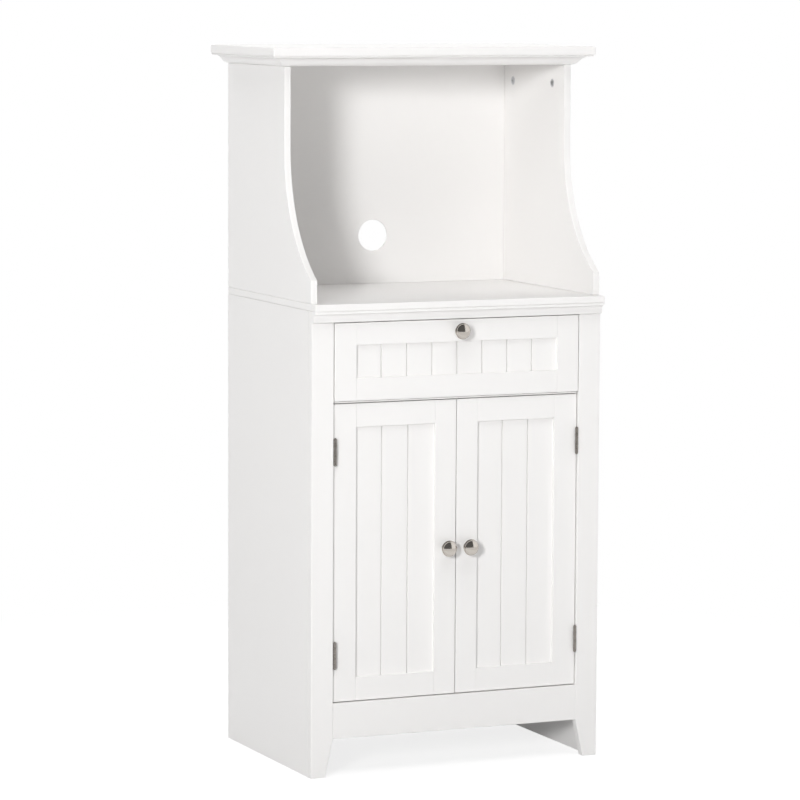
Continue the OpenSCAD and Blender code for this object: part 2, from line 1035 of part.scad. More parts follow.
module frame_leaf_screws() {
    color(nickel)
        both_sides()
            at_frame_screws()
                small_screw(screw_len);
}

module door_leaves() {
    color(nickel)
        difference() {
            for (z = hinge_zs)
                translate([0, 0, z])
                    door_leaf();
            at_door_screws()
                small_screw(screw_len, hole_play);
        }
}

// A pin with a rounded head on the top knuckle and another under the bottom one
module hinge_pin() {
    head_h = 1.5;
    head_r = barrel_d * 0.36;
    translate([axis_x, leg_y, 0]) {
        translate([0, 0, -hinge_h / 2])
            cylinder(d = hinge_pin_d, h = hinge_h);
        for (up = [0, 1])
            mirror([0, 0, up])
                translate([0, 0, hinge_h / 2 - knuckle_gap / 2])
                    cylinder(r1 = head_r, r2 = head_r * 0.55, h = head_h);
    }
}

module hinge_pins() {
    color(nickel)
        both_sides()
            for (z = hinge_zs)
                translate([0, 0, z])
                    hinge_pin();
}

// ---- knobs ----

// Profile of a knob, foot at height 0: a neck that flares from foot to rim, a round rim, and
// a flat ellipse for the dome
function knob_points() =
    let (
        foot_r = knob_foot_d / 2,
        neck_r = knob_neck_d / 2,
        foot_h = 1.5,
        rim_z = knob_reach - knob_dome_h - knob_rim_h,
        under_r = knob_r - 1,
        steps = 12
    )
    concat(
        [[0, 0], [foot_r, 0], [foot_r, foot_h]],
        [for (i = [1 : steps])
            let (u = i / steps)
            [neck_r + (foot_r - neck_r) * pow(1 - u, 4) + (under_r - neck_r) * pow(u, 4),
             foot_h + (rim_z - foot_h) * u]],
        [for (i = [1 : 5])
            let (a = -90 + i * 30)
            [under_r + cos(a) * 1, rim_z + knob_rim_h / 2 * (1 + sin(a))]],
        [for (i = [1 : steps])
            let (a = 90 * i / steps)
            [under_r * cos(a), knob_reach - knob_dome_h + knob_dome_h * sin(a)]]
    );

module knob_solid() {
    color(nickel)
        difference() {
            rotate_extrude()
                polygon(knob_points());
            translate([0, 0, -1])
                cylinder(r = knob_screw_d / 2 + hole_play, h = knob_thread + 1 + hole_play);
        }
}

// Its children with their +Z pointing out of a face at depth y, towards the front
module out_of_face(x, y, z) {
    translate([x, y, z])
        rotate([90, 0, 0])
            children();
}

module knob_bore(x, y, z) {
    out_of_face(x, y, z)
        translate([0, 0, -frame_t - 1])
            cylinder(r = knob_screw_d / 2 + hole_play, h = frame_t + 2);
}

module knob_screw(x, y, z) {
    color(zinc)
        out_of_face(x, y + frame_t, z)
            machine_screw(frame_t + knob_thread);
}

// ---- frames and grooved panels ----

// A stile along z from 0 to len, its outer edge at x = 0, its grooved edge at x = w and its
// front at y = 0. The groove runs as far as the panel does.
module stile(w, len, rail_h) {
    difference() {
        cube([w, frame_t, len]);
        translate([w - panel_groove - groove_play, panel_recess - groove_play,
                   rail_h - panel_groove - groove_play])
            cube([panel_groove + 1, panel_t + 2 * groove_play,
                  len - 2 * (rail_h - panel_groove - groove_play)]);
    }
}

// A rail of length len along x, grooved on its upper edge
module rail(len, rail_h) {
    difference() {
        cube([len, frame_t, rail_h]);
        translate([-1, panel_recess - groove_play, rail_h - panel_groove - groove_play])
            cube([len + 2, panel_t + 2 * groove_play, panel_groove + 1]);
    }
}

// A panel that fills an opening of w by h, with its grooves between the boards
module grooved_panel(w, h, boards) {
    difference() {
        translate([-panel_groove, panel_recess, -panel_groove])
            cube([w + 2 * panel_groove, panel_t, h + 2 * panel_groove]);
        for (i = [1 : boards - 1])
            translate([w * i / boards, panel_recess, -panel_groove - 1])
                linear_extrude(height = h + 2 * panel_groove + 2)
                    polygon([[-bead_w / 2, 0], [-bead_w / 2, -1], [bead_w / 2, -1],
                             [bead_w / 2, 0], [bead_floor / 2, bead_deep],
                             [-bead_floor / 2, bead_deep]]);
    }
}

// ---- drawer ----

drawer_w = 2 * face_x;
drawer_panel_w = drawer_w - 2 * drawer_stile_w;
drawer_panel_h = drawer_front_h - 2 * drawer_rail_h;

module drawer_front_stiles() {
    color(paint)
        both_sides()
            translate([-face_x, leg_y, drawer_z])
                stile(drawer_stile_w, drawer_front_h, drawer_rail_h);
}

module drawer_front_rails() {
    color(paint) {
        translate([-drawer_panel_w / 2, leg_y, drawer_z])
            rail(drawer_panel_w, drawer_rail_h);
        difference() {
            translate([-drawer_panel_w / 2, leg_y, drawer_top])
                mirror([0, 0, 1])
                    rail(drawer_panel_w, drawer_rail_h);
            knob_bore(0, leg_y, drawer_knob_z);
        }
    }
}

module drawer_front_panel() {
    color(paint)
        translate([-drawer_panel_w / 2, leg_y, drawer_z + drawer_rail_h])
            grooved_panel(drawer_panel_w, drawer_panel_h, drawer_boards);
}

box_z = drawer_z + box_lift;
box_top = box_z + box_h;
box_rear = drawer_back_y + box_d;
bottom_z = box_z + bottom_lift;

// The groove for the drawer bottom, cut into the inner faces of the box
module bottom_slot() {
    reach = box_x - box_t + bottom_groove + groove_play;
    block([-reach, drawer_back_y + box_t - bottom_groove - groove_play, bottom_z - groove_play],
          [reach, box_rear - box_t + bottom_groove + groove_play,
           bottom_z + bottom_t + groove_play]);
}

module drawer_inner_front() {
    color(lining)
        difference() {
            block([-box_x + box_t, drawer_back_y, box_z],
                  [box_x - box_t, drawer_back_y + box_t, box_top]);
            bottom_slot();
        }
}

module drawer_side() {
    color(lining)
        difference() {
            block([box_x - box_t, drawer_back_y, box_z], [box_x, box_rear, box_top]);
            bottom_slot();
            block([box_x - runner_groove_deep, runner_y - 1, runner_mid_z - runner_groove_h / 2],
                  [box_x + 1, box_rear + 1, runner_mid_z + runner_groove_h / 2]);
        }
}

module drawer_left_side() {
    mirror([1, 0, 0])
        drawer_side();
}

module drawer_right_side() {
    drawer_side();
}

module drawer_back() {
    color(lining)
        difference() {
            block([-box_x + box_t, box_rear - box_t, box_z],
                  [box_x - box_t, box_rear, box_top]);
            bottom_slot();
        }
}

module drawer_bottom() {
    reach = box_x - box_t + bottom_groove;
    color(lining)
        block([-reach, drawer_back_y + box_t - bottom_groove, bottom_z],
              [reach, box_rear - box_t + bottom_groove, bottom_z + bottom_t]);
}

module drawer_knob() {
    out_of_face(0, leg_y, drawer_knob_z)
        knob_solid();
}

module drawer_knob_screw() {
    knob_screw(0, leg_y, drawer_knob_z);
}

// ---- doors, drawn for the right door ----

door_panel_x0 = meet_x + meeting_stile_w;
door_panel_x1 = face_x - hinge_stile_w;
door_panel_w = door_panel_x1 - door_panel_x0;
door_panel_h = door_h - 2 * door_rail_h;

module door_stiles() {
    color(paint)
        difference() {
            union() {
                translate([meet_x, door_y, door_z])
                    stile(meeting_stile_w, door_h, door_rail_h);
                translate([face_x, door_y, door_z])
                    mirror([1, 0, 0])
                        stile(hinge_stile_w, door_h, door_rail_h);
            }
            knob_bore(door_knob_x, door_y, door_knob_z);
            at_door_screws()
                small_screw(screw_len, hole_play);
            strike_screw_place(strike_x)
                small_screw(screw_len, hole_play);
        }
}

module door_rails() {
    color(paint) {
        translate([door_panel_x0, door_y, door_z])
            rail(door_panel_w, door_rail_h);
        translate([door_panel_x0, door_y, door_top])
            mirror([0, 0, 1])
                rail(door_panel_w, door_rail_h);
    }
}

module door_panel() {
    color(paint)
        translate([door_panel_x0, door_y, door_z + door_rail_h])
            grooved_panel(door_panel_w, door_panel_h, door_boards);
}

module door_knob() {
    out_of_face(door_knob_x, door_y, door_knob_z)
        knob_solid();
}

module door_knob_screw() {
    knob_screw(door_knob_x, door_y, door_knob_z);
}

module leaf_screws() {
    color(nickel)
        at_door_screws()
            small_screw(screw_len);
}

module right_door_stiles() {
    door_stiles();
}

module right_door_rails() {
    door_rails();
}

module right_door_panel() {
    door_panel();
}

module right_door_knob() {
    door_knob();
}

module right_knob_screw() {
    door_knob_screw();
}

module right_door_leaves() {
    door_leaves();
}

module right_leaf_screws() {
    leaf_screws();
}

module left_door_stiles() {
    mirror([1, 0, 0])
        door_stiles();
}

module left_door_rails() {
    mirror([1, 0, 0])
        door_rails();
}

module left_door_panel() {
    mirror([1, 0, 0])
        door_panel();
}

module left_door_knob() {
    mirror([1, 0, 0])
        door_knob();
}

module left_knob_screw() {
    mirror([1, 0, 0])
        door_knob_screw();
}

module left_door_leaves() {
    mirror([1, 0, 0])
        door_leaves();
}

module left_leaf_screws() {
    mirror([1, 0, 0])
        leaf_screws();
}

// ---- output ----

crown_board();
crown_front_moulding();
crown_left_moulding();
crown_right_moulding();
hutch_top();
hutch_left_side();
hutch_right_side();
hutch_back();
counter_board();
counter_moulding();
base_left_side();
base_right_side();
left_leg();
right_leg();
apron();
divider();
cupboard_floor();
base_back();
shelf();
shelf_pins();
left_runner_block();
right_runner_block();
left_runner();
right_runner();
runner_screws();
cam_locks();
cam_bolts();
dowels();
catch_case();
catch_poles();
catch_screws();
frame_leaves();
frame_leaf_screws();
hinge_pins();
drawer_front_stiles();
drawer_front_rails();
drawer_front_panel();
drawer_inner_front();
drawer_left_side();
drawer_right_side();
drawer_back();
drawer_bottom();
drawer_knob();
drawer_knob_screw();
left_door_stiles();
left_door_rails();
left_door_panel();
left_door_knob();
left_knob_screw();
left_door_leaves();
left_leaf_screws();
left_strike_plate();
right_door_stiles();
right_door_rails();
right_door_panel();
right_door_knob();
right_knob_screw();
right_door_leaves();
right_leaf_screws();
right_strike_plate();
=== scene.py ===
"""Looks of a painted microwave cabinet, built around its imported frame.

Everything is in metres in the frame's own axes: +Z up, the doors face -Y, the origin is on the
floor under the middle of the cabinet.
"""

from __future__ import annotations

import json
import logging
import math
from dataclasses import dataclass, field
from enum import Enum
from typing import Callable, Sequence

import bmesh
import bpy
import numpy as np
from mathutils import Matrix, Vector

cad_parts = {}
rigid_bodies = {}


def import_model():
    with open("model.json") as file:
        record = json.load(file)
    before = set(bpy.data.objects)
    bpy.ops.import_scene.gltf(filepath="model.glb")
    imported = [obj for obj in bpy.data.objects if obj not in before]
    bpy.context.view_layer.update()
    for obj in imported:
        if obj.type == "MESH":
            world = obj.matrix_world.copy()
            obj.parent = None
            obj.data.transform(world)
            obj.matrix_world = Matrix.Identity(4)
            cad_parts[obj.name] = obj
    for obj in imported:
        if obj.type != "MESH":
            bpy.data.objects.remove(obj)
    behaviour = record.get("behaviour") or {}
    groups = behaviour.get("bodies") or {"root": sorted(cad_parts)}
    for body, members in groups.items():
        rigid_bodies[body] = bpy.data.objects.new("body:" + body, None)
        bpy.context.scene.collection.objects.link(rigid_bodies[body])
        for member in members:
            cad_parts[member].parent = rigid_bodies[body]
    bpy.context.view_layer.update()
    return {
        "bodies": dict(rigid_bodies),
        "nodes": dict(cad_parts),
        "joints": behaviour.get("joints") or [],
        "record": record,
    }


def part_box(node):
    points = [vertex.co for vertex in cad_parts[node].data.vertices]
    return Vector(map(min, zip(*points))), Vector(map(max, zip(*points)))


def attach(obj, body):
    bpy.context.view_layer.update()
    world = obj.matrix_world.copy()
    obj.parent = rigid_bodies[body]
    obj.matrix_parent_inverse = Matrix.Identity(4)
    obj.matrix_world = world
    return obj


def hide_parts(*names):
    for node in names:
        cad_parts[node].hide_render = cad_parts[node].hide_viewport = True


LOG = logging.getLogger("cabinet")

MM = 0.001
# How far every board's faces stand back from the CAD's, so that joints show as fine lines
HAIRLINE = 0.12 * MM
# Depth of the CAD's panel grooves, and how much deeper they are made here
GROOVE = 1.5 * MM
DEEPER = 1.3 * MM
# Points closer than this are one point when a loose mesh is merged
MERGE = 0.002 * MM
# Points this close to a plane lie in it
TOUCH = 0.01 * MM
# Faces that meet at less than the first angle are one flat face, and at more than the second
# form a sharp edge
FLAT = math.radians(0.4)
SHARP = math.radians(30.0)
IMAGE_PIXELS = 800


class Slot(Enum):
    """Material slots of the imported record."""

    PAINT = "white_paint"
    LINING = "white_lining"
    NICKEL = "nickel"
    STEEL = "steel"
    ZINC = "zinc"
    NYLON = "nylon"
    BEECH = "beech"


# ---------------------------------------------------------------------------------------------
# Shader building
# ---------------------------------------------------------------------------------------------


class Board:
    """A node tree with short calls to add nodes and join their sockets."""

    def __init__(self, tree: bpy.types.NodeTree) -> None:
        """Keeps the tree.

        Args:
            tree: the shader tree or node group to build in.
        """
        self.tree = tree

    def add(self, kind: str, **settings: object) -> bpy.types.Node:
        """Adds one node.

        Args:
            kind: Blender's node type, such as "ShaderNodeTexNoise".
            settings: attributes of the node to set.

        Returns:
            The new node.
        """
        node = self.tree.nodes.new(kind)
        for key, value in settings.items():
            setattr(node, key, value)
        return node

    def join(self, source: bpy.types.NodeSocket, target: bpy.types.NodeSocket) -> None:
        """Links an output socket to an input socket."""
        self.tree.links.new(source, target)

    def feed(self, node: bpy.types.Node, **inputs: object) -> bpy.types.Node:
        """Sets or links inputs by name, with underscores for spaces.

        Args:
            node: the node whose inputs are set.
            inputs: a value, or an output socket to link.

        Returns:
            The same node.
        """
        for key, value in inputs.items():
            socket = node.inputs[key.replace("_", " ")]
            if isinstance(value, bpy.types.NodeSocket):
                self.join(value, socket)
            else:
                socket.default_value = value
        return node

    def maths(self, operation: str, first: object, second: object = 0.0) -> bpy.types.NodeSocket:
        """Adds a Math node and returns its output.

        Args:
            operation: Blender's name of the operation, such as "MULTIPLY".
            first: first value or socket.
            second: second value or socket.

        Returns:
            The result's socket.
        """
        node = self.add("ShaderNodeMath", operation=operation)
        for socket, value in zip(node.inputs, (first, second)):
            if isinstance(value, bpy.types.NodeSocket):
                self.join(value, socket)
            else:
                socket.default_value = value
        return node.outputs[0]


class Effects:
    """Node groups that the finishes share. Each is made once, on first use."""

    def __init__(self) -> None:
        """Starts with no group made."""
        self._made: dict[str, bpy.types.NodeTree] = {}

    def _group(
        self,
        name: str,
        inputs: Sequence[tuple[str, str, object]],
        outputs: Sequence[tuple[str, str]],
        fill: Callable[[Board, bpy.types.Node, bpy.types.Node], None],
    ) -> bpy.types.NodeTree:
        """Makes a group, or returns the one already made.

        Args:
            name: the group's name.
            inputs: name, socket type and default of each input.
            outputs: name and socket type of each output.
            fill: builds the inside, given the board and the group's two end nodes.

        Returns:
            The node group.
        """
        if name in self._made:
            return self._made[name]
        tree = bpy.data.node_groups.new(name, "ShaderNodeTree")
        for label, kind, default in inputs:
            socket = tree.interface.new_socket(label, in_out="INPUT", socket_type=kind)
            if default is not None:
                socket.default_value = default
        for label, kind in outputs:
            tree.interface.new_socket(label, in_out="OUTPUT", socket_type=kind)
        board = Board(tree)
        start = board.add("NodeGroupInput")
        end = board.add("NodeGroupOutput")
        fill(board, start, end)
        self._made[name] = tree
        return tree

    def tone_drift(self) -> bpy.types.NodeTree:
        """Colour times one plus a slow noise, so that a large face isn't one flat tone."""

        def fill(board: Board, start: bpy.types.Node, end: bpy.types.Node) -> None:
            noise = board.add("ShaderNodeTexNoise")
            board.feed(noise, Vector=start.outputs["Position"], Scale=start.outputs["Scale"],
                       Detail=3.0, Roughness=0.55)
            swing = board.maths("SUBTRACT", noise.outputs["Fac"], 0.5)
            swing = board.maths("MULTIPLY", swing, start.outputs["Amount"])
            factor = board.maths("ADD", swing, 1.0)
            scaled = board.add("ShaderNodeVectorMath", operation="SCALE")
            board.join(start.outputs["Colour"], scaled.inputs[0])
            board.join(factor, scaled.inputs["Scale"])
            board.join(scaled.outputs[0], end.inputs["Colour"])

        return self._group(
            "tone_drift",
            (("Position", "NodeSocketVector", None),
             ("Colour", "NodeSocketColor", (0.8, 0.8, 0.8, 1.0)),
             ("Scale", "NodeSocketFloat", 4.0),
             ("Amount", "NodeSocketFloat", 0.02)),
            (("Colour", "NodeSocketColor"),),
            fill,
        )

    def paint_skin(self) -> bpy.types.NodeTree:
        """Height of sprayed paint: a broad orange peel plus fine dust nibs, and its gloss."""

        def fill(board: Board, start: bpy.types.Node, end: bpy.types.Node) -> None:
            peel = board.add("ShaderNodeTexNoise")
            board.feed(peel, Vector=start.outputs["Position"], Scale=start.outputs["Scale"],
                       Detail=2.0, Roughness=0.45)
            fine_scale = board.maths("MULTIPLY", start.outputs["Scale"], 5.0)
            nibs = board.add("ShaderNodeTexVoronoi", feature="F1")
            board.feed(nibs, Vector=start.outputs["Position"], Scale=fine_scale)
            nib = board.maths("MULTIPLY", nibs.outputs["Distance"], 0.18)
            height = board.maths("ADD", peel.outputs["Fac"], nib)
            board.join(height, end.inputs["Height"])
            cloud = board.add("ShaderNodeTexNoise")
            slow_scale = board.maths("MULTIPLY", start.outputs["Scale"], 0.06)
            board.feed(cloud, Vector=start.outputs["Position"], Scale=slow_scale, Detail=4.0)
            swing = board.maths("SUBTRACT", cloud.outputs["Fac"], 0.5)
            swing = board.maths("MULTIPLY", swing, start.outputs["Gloss Swing"])
            gloss = board.maths("ADD", swing, start.outputs["Roughness"])
            board.join(gloss, end.inputs["Roughness"])

        return self._group(
            "paint_skin",
            (("Position", "NodeSocketVector", None),
             ("Scale", "NodeSocketFloat", 260.0),
             ("Roughness", "NodeSocketFloat", 0.4),
             ("Gloss Swing", "NodeSocketFloat", 0.1)),
            (("Height", "NodeSocketFloat"), ("Roughness", "NodeSocketFloat")),
            fill,
        )

    def rubbed_metal(self) -> bpy.types.NodeTree:
        """Height and roughness of metal: noise drawn out along one axis as fine hairlines."""

        def fill(board: Board, start: bpy.types.Node, end: bpy.types.Node) -> None:
            stretch = board.add("ShaderNodeMapping", vector_type="POINT")
            board.join(start.outputs["Position"], stretch.inputs["Vector"])
            stretch.inputs["Scale"].default_value = (1.0, 1.0, 0.05)
            lines = board.add("ShaderNodeTexNoise")
            board.feed(lines, Vector=stretch.outputs["Vector"], Scale=start.outputs["Scale"],
                       Detail=3.0, Roughness=0.7)
            smudge = board.add("ShaderNodeTexNoise")
            slow_scale = board.maths("MULTIPLY", start.outputs["Scale"], 0.08)
            board.feed(smudge, Vector=start.outputs["Position"], Scale=slow_scale, Detail=3.0)
            swing = board.maths("ADD", lines.outputs["Fac"], smudge.outputs["Fac"])
            swing = board.maths("SUBTRACT", swing, 1.0)
            swing = board.maths("MULTIPLY", swing, start.outputs["Swing"])
            rough = board.maths("ADD", swing, start.outputs["Roughness"])
            board.join(rough, end.inputs["Roughness"])
            board.join(lines.outputs["Fac"], end.inputs["Height"])

        return self._group(
            "rubbed_metal",
            (("Position", "NodeSocketVector", None),
             ("Scale", "NodeSocketFloat", 1500.0),
             ("Roughness", "NodeSocketFloat", 0.2),
             ("Swing", "NodeSocketFloat", 0.1)),
            (("Roughness", "NodeSocketFloat"), ("Height", "NodeSocketFloat")),
            fill,
        )

    def wood_grain(self) -> bpy.types.NodeTree:
        """Streaks along X for a turned beech peg: a wave bent by noise, light to dark."""

        def fill(board: Board, start: bpy.types.Node, end: bpy.types.Node) -> None:
            wave = board.add("ShaderNodeTexWave", wave_type="BANDS", bands_direction="Z")
            board.feed(wave, Vector=start.outputs["Position"], Scale=start.outputs["Scale"],
                       Distortion=6.0, Detail=3.0)
            blend = board.add("ShaderNodeMix", data_type="RGBA")
            board.join(wave.outputs["Fac"], blend.inputs["Factor"])
            board.join(start.outputs["Light"], blend.inputs[6])
            board.join(start.outputs["Dark"], blend.inputs[7])
            board.join(blend.outputs[2], end.inputs["Colour"])
            board.join(wave.outputs["Fac"], end.inputs["Height"])

        return self._group(
            "wood_grain",
            (("Position", "NodeSocketVector", None),
             ("Scale", "NodeSocketFloat", 300.0),
             ("Light", "NodeSocketColor", (0.7, 0.5, 0.3, 1.0)),
             ("Dark", "NodeSocketColor", (0.5, 0.33, 0.18, 1.0))),
            (("Colour", "NodeSocketColor"), ("Height", "NodeSocketFloat")),
            fill,
        )


# ---------------------------------------------------------------------------------------------
# Finishes
# ---------------------------------------------------------------------------------------------


@dataclass(frozen=True)
class Finish:
    """What every finish has: a name, a base colour and a mean roughness."""

    name: str
    colour: tuple[float, float, float]
    roughness: float

    def start(self) -> tuple[bpy.types.Material, Board, bpy.types.Node, bpy.types.NodeSocket]:
        """Makes the material with its Principled shader.

        Returns:
            The material, its board, the shader node and the Object position socket.
        """
        material = bpy.data.materials.new(self.name)
        material.use_nodes = True
        board = Board(material.node_tree)
        shader = next(n for n in material.node_tree.nodes if n.type == "BSDF_PRINCIPLED")
        place = board.add("ShaderNodeTexCoord").outputs["Object"]
        material.diffuse_color = (*self.colour, 1.0)
        return material, board, shader, place

    def bump(self, board: Board, shader: bpy.types.Node, height: bpy.types.NodeSocket,
             depth: float) -> None:
        """Feeds a height into the shader's normal.

        Args:
            board: the material's board.
            shader: the Principled shader.
            height: the height socket, about 0 to 1.
            depth: how deep a height of one is, in metres.
        """
        node = board.add("ShaderNodeBump")
        board.feed(node, Height=height, Distance=depth, Strength=1.0)
        board.join(node.outputs["Normal"], shader.inputs["Normal"])


@dataclass(frozen=True)
class Paint(Finish):
    """Sprayed satin paint on fibreboard."""

    peel_scale: float = 260.0
    peel_depth: float = 0.04 * MM
    gloss_swing: float = 0.08
    drift: float = 0.02
    drift_scale: float = 3.0
    coat: float = 0.12
    coat_roughness: float = 0.3

    def material(self, effects: Effects) -> bpy.types.Material:
        """Builds the paint's material.

        Args:
            effects: the shared node groups.

        Returns:
            The material.
        """
        material, board, shader, place = self.start()
        tone = board.add("ShaderNodeGroup", node_tree=effects.tone_drift())
        board.feed(tone, Position=place, Colour=(*self.colour, 1.0), Scale=self.drift_scale,
                   Amount=self.drift)
        board.join(tone.outputs["Colour"], shader.inputs["Base Color"])
        skin = board.add("ShaderNodeGroup", node_tree=effects.paint_skin())
        board.feed(skin, Position=place, Scale=self.peel_scale, Roughness=self.roughness,
                   Gloss_Swing=self.gloss_swing)
        board.join(skin.outputs["Roughness"], shader.inputs["Roughness"])
        shader.inputs["Coat Weight"].default_value = self.coat
        shader.inputs["Coat Roughness"].default_value = self.coat_roughness
        self.bump(board, shader, skin.outputs["Height"], self.peel_depth)
        return material


@dataclass(frozen=True)
class Metal(Finish):
    """Plated or plain metal with fine hairlines."""

    line_scale: float = 1500.0
    line_depth: float = 0.004 * MM
    swing: float = 0.08
    drift: float = 0.06
    drift_scale: float = 90.0

    def material(self, effects: Effects) -> bpy.types.Material:
        """Builds the metal's material.

        Args:
            effects: the shared node groups.

        Returns:
            The material.
        """
        material, board, shader, place = self.start()
        tone = board.add("ShaderNodeGroup", node_tree=effects.tone_drift())
        board.feed(tone, Position=place, Colour=(*self.colour, 1.0), Scale=self.drift_scale,
                   Amount=self.drift)
        board.join(tone.outputs["Colour"], shader.inputs["Base Color"])
        rub = board.add("ShaderNodeGroup", node_tree=effects.rubbed_metal())
        board.feed(rub, Position=place, Scale=self.line_scale, Roughness=self.roughness,
                   Swing=self.swing)
        board.join(rub.outputs["Roughness"], shader.inputs["Roughness"])
        shader.inputs["Metallic"].default_value = 1.0
        self.bump(board, shader, rub.outputs["Height"], self.line_depth)
        return material


@dataclass(frozen=True)
class Nylon(Finish):
    """Moulded matt nylon."""

    grain_scale: float = 900.0
    grain_depth: float = 0.02 * MM
    gloss_swing: float = 0.06
    drift: float = 0.04
    drift_scale: float = 60.0
    glow_through: float = 0.05

    def material(self, effects: Effects) -> bpy.types.Material:
        """Builds the nylon's material.

        Args:
            effects: the shared node groups.

        Returns:
            The material.
        """
        material, board, shader, place = self.start()
        tone = board.add("ShaderNodeGroup", node_tree=effects.tone_drift())
        board.feed(tone, Position=place, Colour=(*self.colour, 1.0), Scale=self.drift_scale,
                   Amount=self.drift)
        board.join(tone.outputs["Colour"], shader.inputs["Base Color"])
        skin = board.add("ShaderNodeGroup", node_tree=effects.paint_skin())
        board.feed(skin, Position=place, Scale=self.grain_scale, Roughness=self.roughness,
                   Gloss_Swing=self.gloss_swing)
        board.join(skin.outputs["Roughness"], shader.inputs["Roughness"])
        shader.inputs["Subsurface Weight"].default_value = self.glow_through
        self.bump(board, shader, skin.outputs["Height"], self.grain_depth)
        return material


@dataclass(frozen=True)
class Beech(Finish):
    """Plain turned beech."""

    dark: tuple[float, float, float] = (0.52, 0.34, 0.19)
    grain_scale: float = 320.0
    grain_depth: float = 0.06 * MM

    def material(self, effects: Effects) -> bpy.types.Material:
        """Builds the wood's material.

        Args:
            effects: the shared node groups.

        Returns:
            The material.
        """
        material, board, shader, place = self.start()
        grain = board.add("ShaderNodeGroup", node_tree=effects.wood_grain())
        board.feed(grain, Position=place, Scale=self.grain_scale, Light=(*self.colour, 1.0),
                   Dark=(*self.dark, 1.0))
        board.join(grain.outputs["Colour"], shader.inputs["Base Color"])
        shader.inputs["Roughness"].default_value = self.roughness
        self.bump(board, shader, grain.outputs["Height"], self.grain_depth)
        return material


FINISHES: dict[Slot, Finish] = {
    Slot.PAINT: Paint("satin_white_paint", (0.905, 0.893, 0.882), 0.42),
    Slot.LINING: Paint("white_board_lining", (0.905, 0.893, 0.882), 0.5, peel_depth=0.02 * MM,
                       coat=0.05),
    Slot.NICKEL: Metal("polished_nickel", (0.52, 0.484, 0.443), 0.13),
    Slot.STEEL: Metal("plain_steel", (0.56, 0.57, 0.58), 0.32, line_depth=0.01 * MM,
                      swing=0.15),
    Slot.ZINC: Metal("zinc_plate", (0.72, 0.725, 0.74), 0.5, line_depth=0.01 * MM,
                     swing=0.2),
    Slot.NYLON: Nylon("matt_nylon", (0.78, 0.78, 0.74), 0.5),
    Slot.BEECH: Beech("plain_beech", (0.72, 0.54, 0.34), 0.55),
}

# The hinges' metal: the knobs' nickel in the same slot, duller, and darker as painted shade for
# the shaded gaps that the hinges sit in
SHADE_DARKENED_NICKEL = Metal("shade_darkened_nickel", (0.27, 0.25, 0.23), 0.28, swing=0.12)


# ---------------------------------------------------------------------------------------------
# Meshes
# ---------------------------------------------------------------------------------------------


def revolve(name: str, radii: np.ndarray, heights: np.ndarray, steps: int) -> bpy.types.Object:
    """Turns a profile about Z and closes it at both poles.

    A point at turn t is (r cos t, r sin t, h) for each pair of radius r and height h. The first
    and the last ring shrink to one point each on the axis.

    Args:
        name: the new object's name.
        radii: radius of each ring, from one pole to the other, poles left out.
        heights: height of each ring, with the two poles' heights first and last.
        steps: number of points round each ring.

    Returns:
        An object at the origin, with its faces outwards.
    """
    turn = np.linspace(0.0, 2.0 * math.pi, steps, endpoint=False)
    rings = len(radii)
    x = np.outer(radii, np.cos(turn))
    y = np.outer(radii, np.sin(turn))
    z = np.repeat(heights[1:-1, None], steps, axis=1)
    body = np.stack((x, y, z), axis=-1).reshape(-1, 3)
    poles = np.array([(0.0, 0.0, heights[0]), (0.0, 0.0, heights[-1])])
    points = np.concatenate((body, poles))
    row, column = np.meshgrid(np.arange(rings - 1), np.arange(steps), indexing="ij")
    here = row * steps + column
    beside = row * steps + (column + 1) % steps
    quads = np.stack((here, beside, beside + steps, here + steps), axis=-1).reshape(-1, 4)
    first, last = rings * steps, rings * steps + 1
    edge = np.arange(steps)
    after = (edge + 1) % steps
    low = np.stack((after, edge, np.full(steps, first)), axis=-1)
    top = (rings - 1) * steps
    high = np.stack((top + edge, top + after, np.full(steps, last)), axis=-1)
    mesh = bpy.data.meshes.new(name)
    mesh.from_pydata(points.tolist(), [], quads.tolist() + low.tolist() + high.tolist())
    mesh.polygons.foreach_set("use_smooth", np.ones(len(mesh.polygons), bool))
    mesh.set_sharp_from_angle(angle=math.radians(40.0))
    mesh.update()
    made = bpy.data.objects.new(name, mesh)
    bpy.context.scene.collection.objects.link(made)
    return made


def set_back(piece: bpy.types.Object, depth: float, amount: float) -> None:
    """Moves the points at one depth behind a board's foremost face towards +Y.

    A depth of zero draws the face itself back. The depth of a panel's grooves lets their floors
    down, so that they read as dark lines.

    Args:
        piece: the board's eased copy.
        depth: how far the points lie behind the foremost face, in metres.
        amount: how far they move, in metres.
    """
    points = np.empty(len(piece.data.vertices) * 3)
    piece.data.vertices.foreach_get("co", points)
    across = points.reshape(-1, 3)
    behind = across[:, 1] - across[:, 1].min()
    across[np.abs(behind - depth) < TOUCH, 1] += amount
    piece.data.vertices.foreach_set("co", points)
    piece.data.update()


